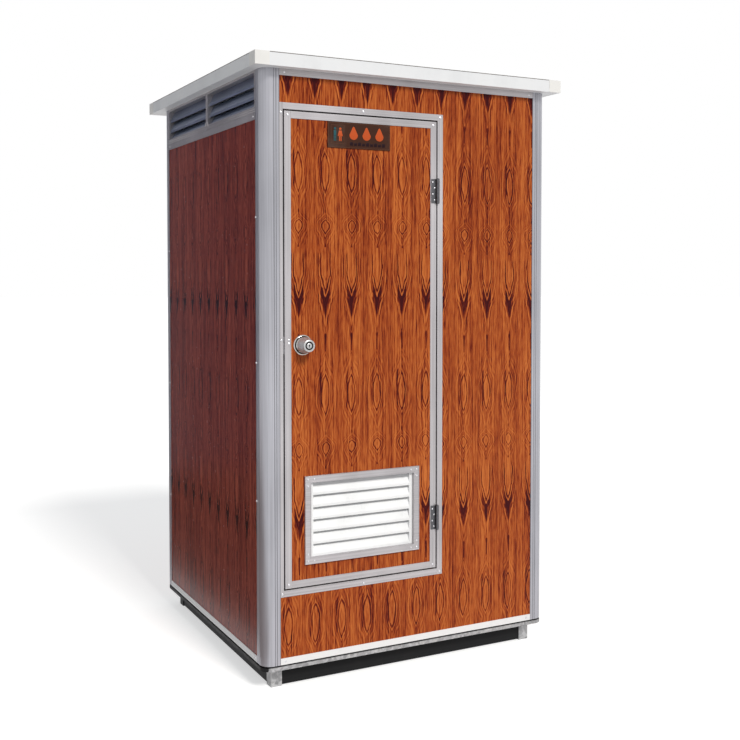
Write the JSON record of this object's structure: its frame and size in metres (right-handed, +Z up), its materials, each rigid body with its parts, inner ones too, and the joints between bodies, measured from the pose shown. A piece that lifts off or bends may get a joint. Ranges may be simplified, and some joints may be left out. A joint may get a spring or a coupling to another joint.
{
  "type": "prefab washroom cabin",
  "caption": "Single prefab washroom cabin with wood-grain sandwich walls, aluminium posts, a louvred door with a knob lock, side vents and a flat white roof.",
  "frame": {"origin": "centre of the whole object's box at ground level, on the plane of the feet's soles", "axes": "+Z up, +Y from the door side to the back, +X to the right seen from the door side"},
  "size_m": [1.2264, 1.2652, 2.135],
  "materials": {
    "woodgrain_panel": "glossy wood-grain film on steel sheet",
    "aluminium": "satin anodised extrusion",
    "louvre_aluminium": "satin anodised blades",
    "white_track": "white powder coat",
    "roof_white": "white coated steel",
    "cap_cream": "off-white moulded cap",
    "white_blades": "white moulded blades",
    "galvanised": "galvanised steel with spangle",
    "black_steel": "black paint",
    "floor_steel": "ribbed galvanised floor sheet",
    "sign_brown": "brown printed plate",
    "chrome": "polished",
    "stainless": "brushed stainless steel"
  },
  "bodies": {
    "cabin": {"base_feet": "galvanised", "base_rails": "black_steel", "base_plate": "galvanised", "floor_deck": "floor_steel", "post_front_left": "aluminium", "post_front_right": "aluminium", "post_back_left": "aluminium", "post_back_right": "aluminium", "bottom_tracks": "white_track", "top_tracks": "aluminium", "front_wall_right": "woodgrain_panel", "front_wall_over_door": "woodgrain_panel", "front_wall_under_door": "woodgrain_panel", "left_wall": "woodgrain_panel", "right_wall": "woodgrain_panel", "back_wall": "woodgrain_panel", "louvre_frame_left": "aluminium", "louvre_frame_right": "aluminium", "louvre_blades_left": "louvre_aluminium", "louvre_blades_right": "louvre_aluminium", "door_frame_head": "aluminium", "door_frame_sill": "aluminium", "door_frame_hinge_jamb": "aluminium", "door_frame_latch_jamb": "aluminium", "roof_panel": "roof_white", "roof_fascia_front": "roof_white", "roof_fascia_back": "roof_white", "roof_fascia_left": "roof_white", "roof_fascia_right": "roof_white", "roof_corner_caps": "cap_cream", "hinge_frame_leaves": "stainless", "hinge_pins": "stainless"},
    "door": {"hinge_door_leaves": "stainless", "door_panel": "woodgrain_panel", "door_stile_latch": "aluminium", "door_stile_hinge": "aluminium", "door_rail_top": "aluminium", "door_rail_bottom": "aluminium", "door_louvre_frame": "aluminium", "door_louvre_cassette": "white_blades", "door_sign": "sign_brown", "lock_roses": "chrome", "latch_plate": "stainless"},
    "knob": {"knob_set": "chrome"}
  },
  "joints": [
    {"name": "door_swing", "type": "hinge", "parent": "cabin", "child": "door", "pos_m": [0.0955, -0.5856, 1.1165], "axis": [0, 0, 1], "range_deg": [0, 110]},
    {"name": "knob_turn", "type": "hinge", "parent": "door", "child": "knob", "pos_m": [-0.429, -0.5786, 1.169], "axis": [0, 1, 0], "range_deg": [-60, 60], "stiffness_Nm_per_rad": 0.2}
  ]
}
